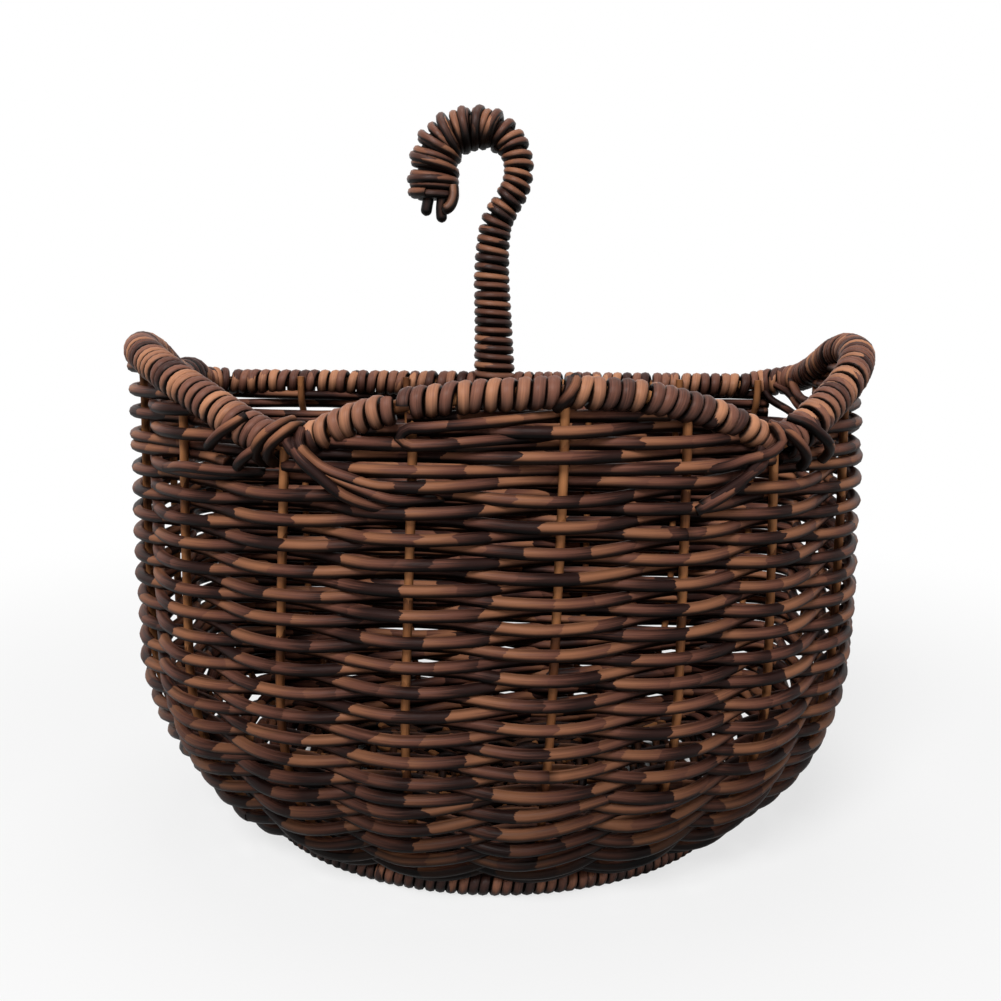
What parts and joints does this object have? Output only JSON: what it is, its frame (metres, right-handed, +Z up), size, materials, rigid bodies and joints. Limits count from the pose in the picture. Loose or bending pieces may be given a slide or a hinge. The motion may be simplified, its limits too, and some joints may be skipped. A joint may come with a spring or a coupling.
{
  "type": "rattan wall basket",
  "caption": "Half-round woven rattan basket with a flat back, a scalloped wrapped rim, a wrapped foot ring and a wrapped hook that hangs it on a wall.",
  "frame": {"origin": "middle of the underside of the object's box, in the plane of the foot ring's underside", "axes": "+X to the right as the belly is faced, +Y from the belly back to the wall, +Z up along the hook's stem"},
  "size_m": [0.3554, 0.219, 0.3665],
  "materials": {
    "stained_cane": "satin, brown stained round cane",
    "honey_cane": "satin, golden brown cane",
    "rim_cane": "satin, tan brown cane",
    "dark_cane": "satin, dark brown cane"
  },
  "bodies": {
    "root": {"stake_01": "honey_cane", "stake_02": "honey_cane", "stake_03": "honey_cane", "stake_04": "honey_cane", "stake_05": "honey_cane", "stake_06": "honey_cane", "stake_07": "honey_cane", "stake_08": "honey_cane", "stake_09": "honey_cane", "stake_10": "honey_cane", "stake_11": "honey_cane", "stake_12": "honey_cane", "stake_13": "honey_cane", "stake_14": "honey_cane", "stake_15": "honey_cane", "stake_16": "honey_cane", "stake_17": "honey_cane", "weaver_a1": "stained_cane", "weaver_a2": "stained_cane", "weaver_a3": "stained_cane", "weaver_a4": "stained_cane", "weaver_a5": "stained_cane", "weaver_a6": "stained_cane", "weaver_b1": "stained_cane", "weaver_b2": "stained_cane", "weaver_b3": "stained_cane", "weaver_b4": "stained_cane", "weaver_b5": "stained_cane", "weaver_b6": "stained_cane", "arch_fill": "stained_cane", "back_fill": "stained_cane", "left_ear_fill": "stained_cane", "right_ear_fill": "stained_cane", "rim_cane": "honey_cane", "back_left_binding": "rim_cane", "left_ear_binding": "rim_cane", "arch_binding": "rim_cane", "right_ear_binding": "rim_cane", "back_right_binding": "rim_cane", "foot_cane": "honey_cane", "foot_binding": "dark_cane", "base_mat": "dark_cane", "hook_core": "honey_cane", "hook_stem_winding": "stained_cane", "hook_crook_winding": "stained_cane"}
  },
  "joints": []
}
